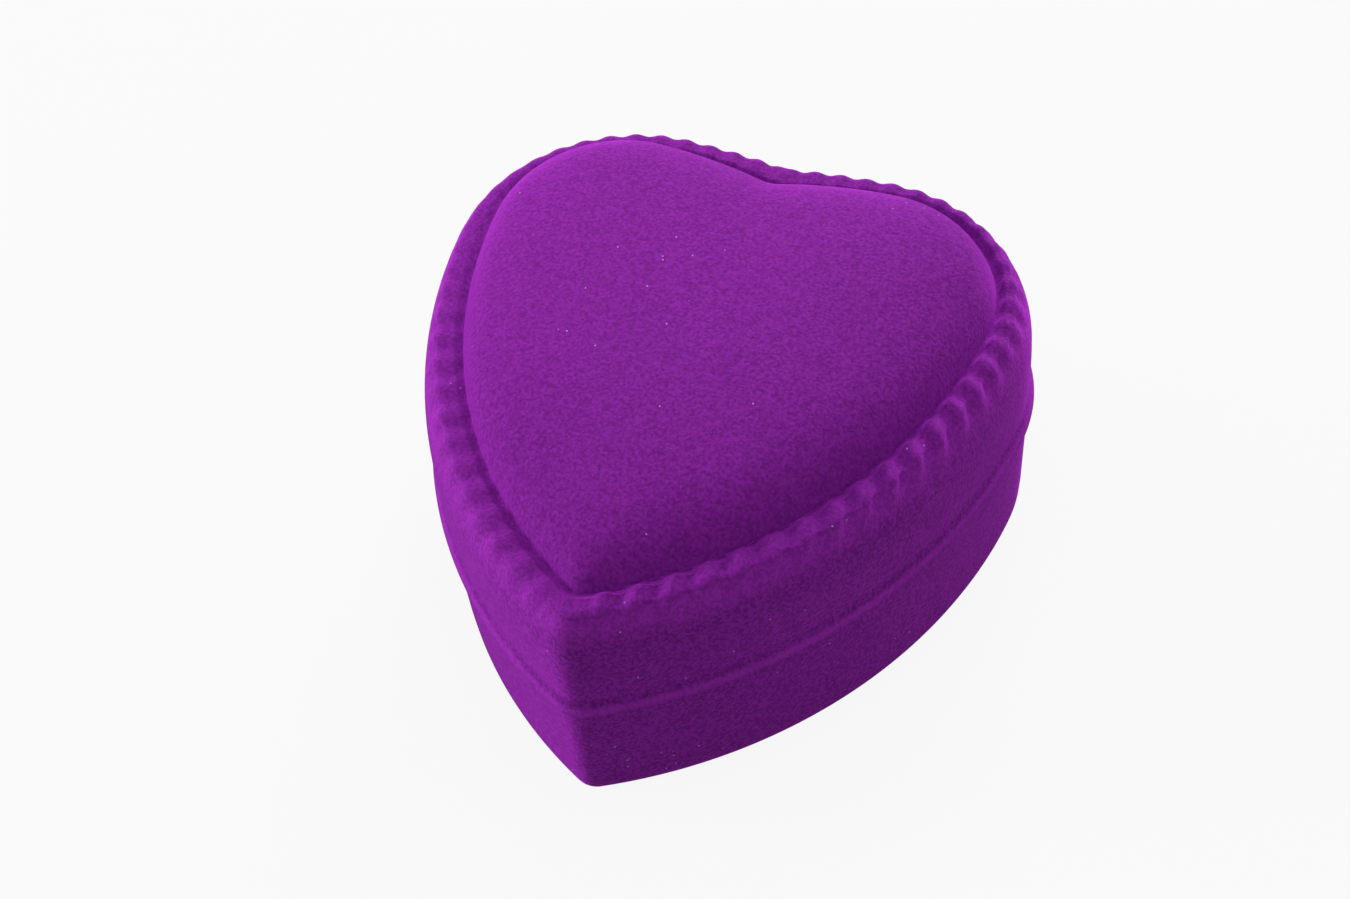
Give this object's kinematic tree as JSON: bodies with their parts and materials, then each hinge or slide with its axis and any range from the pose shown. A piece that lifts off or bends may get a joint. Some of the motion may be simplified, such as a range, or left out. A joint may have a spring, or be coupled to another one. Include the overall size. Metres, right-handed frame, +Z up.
{
  "type": "heart-shaped ring box",
  "caption": "Heart-shaped flocked ring box with a hinged lid that carries a raised heart panel in a rope border, over ring pads and a satin lining.",
  "frame": {"origin": "on the table under the middle of the box", "axes": "+Z up, the tip of the heart towards -Y, the hinge at +Y"},
  "size_m": [0.056, 0.0601, 0.0309],
  "materials": {
    "flock": "purple velvet flock on moulded plastic",
    "collar_card": "card covered in purple velvet",
    "card": "plain grey card",
    "pad_velvet": "purple velvet",
    "foam": "open-cell foam",
    "satin": "ivory satin",
    "steel": "bright zinc-plated steel",
    "rivet_steel": "bright steel"
  },
  "bodies": {
    "base": {"base_shell": "flock", "base_collar": "collar_card", "pad_board": "card", "front_pad_cover": "pad_velvet", "front_pad_foam": "foam", "rear_pad_cover": "pad_velvet", "rear_pad_foam": "foam", "base_hinge_leaf": "steel", "base_hinge_rivets": "rivet_steel", "hinge_pin": "steel"},
    "lid": {"lid_shell": "flock", "lid_lining_band": "satin", "lid_pad_board": "card", "lid_pad_wadding": "foam", "lid_pad_satin": "satin", "lid_hinge_leaf": "steel", "lid_hinge_rivets": "rivet_steel"}
  },
  "joints": [
    {"name": "lid_hinge", "type": "hinge", "parent": "base", "child": "lid", "pos_m": [0, 0.02901, 0.0136], "axis": [-1, 0, 0], "range_deg": [0, 95]}
  ]
}
